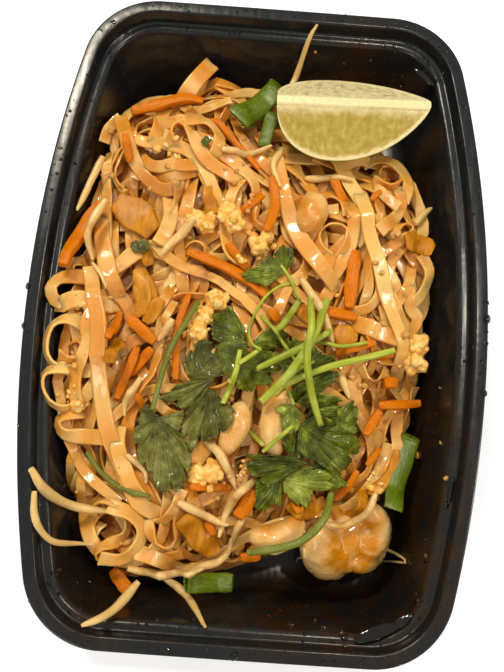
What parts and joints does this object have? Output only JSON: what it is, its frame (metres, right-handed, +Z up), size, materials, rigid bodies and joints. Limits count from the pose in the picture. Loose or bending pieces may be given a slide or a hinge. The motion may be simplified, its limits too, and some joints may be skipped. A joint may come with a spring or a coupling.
{
  "type": "pad thai in a takeaway tray",
  "caption": "Pad thai: a heap of flat rice noodles with shrimp, egg, carrot, sprouts, scallion, cilantro and a lime wedge, in a black bowed takeaway tray.",
  "frame": {"origin": "under the middle of the tray, on the surface it stands on", "axes": "+Z up out of the tray, +Y along its length towards the lime wedge, +X across it to the right"},
  "size_m": [0.1548, 0.222, 0.056],
  "materials": {
    "tray_plastic": "satin black, moulded",
    "noodle": "oily, semi-gloss",
    "lime": "wet cut flesh and waxy rind",
    "shrimp": "moist, semi-gloss",
    "onion": "cooked soft, glossy",
    "egg": "curdled, matte and moist",
    "carrot": "moist, semi-gloss",
    "sprout": "moist, translucent",
    "scallion": "moist, smooth",
    "cilantro_leaf": "soft leaf, slight sheen",
    "cilantro_stem": "smooth, slight sheen"
  },
  "bodies": {
    "root": {"tray": "tray_plastic", "noodle_heap": "noodle", "lime_wedge": "lime", "shrimp_01": "shrimp", "shrimp_02": "shrimp", "shrimp_03": "shrimp", "shrimp_04": "shrimp", "shrimp_05": "shrimp", "shrimp_06": "shrimp", "onion_01": "onion", "onion_02": "onion", "onion_03": "onion", "egg_clump_01": "egg", "egg_clump_02": "egg", "egg_clump_03": "egg", "egg_clump_04": "egg", "egg_clump_05": "egg", "egg_clump_06": "egg", "egg_clump_07": "egg", "carrot_shred_01": "carrot", "carrot_shred_02": "carrot", "carrot_shred_03": "carrot", "carrot_shred_04": "carrot", "carrot_shred_05": "carrot", "carrot_shred_06": "carrot", "carrot_shred_07": "carrot", "carrot_shred_08": "carrot", "carrot_shred_09": "carrot", "carrot_shred_10": "carrot", "carrot_shred_11": "carrot", "carrot_shred_12": "carrot", "carrot_shred_13": "carrot", "carrot_shred_14": "carrot", "sprout_01": "sprout", "sprout_02": "sprout", "sprout_03": "sprout", "sprout_04": "sprout", "sprout_05": "sprout", "sprout_06": "sprout", "sprout_07": "sprout", "sprout_08": "sprout", "scallion_01": "scallion", "scallion_02": "scallion", "scallion_03": "scallion", "scallion_04": "scallion", "cilantro_leaf_01": "cilantro_leaf", "cilantro_leaf_02": "cilantro_leaf", "cilantro_leaf_03": "cilantro_leaf", "cilantro_leaf_04": "cilantro_leaf", "cilantro_leaf_05": "cilantro_leaf", "cilantro_leaf_06": "cilantro_leaf", "cilantro_leaf_07": "cilantro_leaf", "cilantro_leaf_08": "cilantro_leaf", "cilantro_stem_01": "cilantro_stem", "cilantro_stem_02": "cilantro_stem", "cilantro_stem_03": "cilantro_stem", "cilantro_stem_04": "cilantro_stem", "cilantro_stem_05": "cilantro_stem", "cilantro_stem_06": "cilantro_stem", "cilantro_stem_07": "cilantro_stem"}
  },
  "joints": []
}
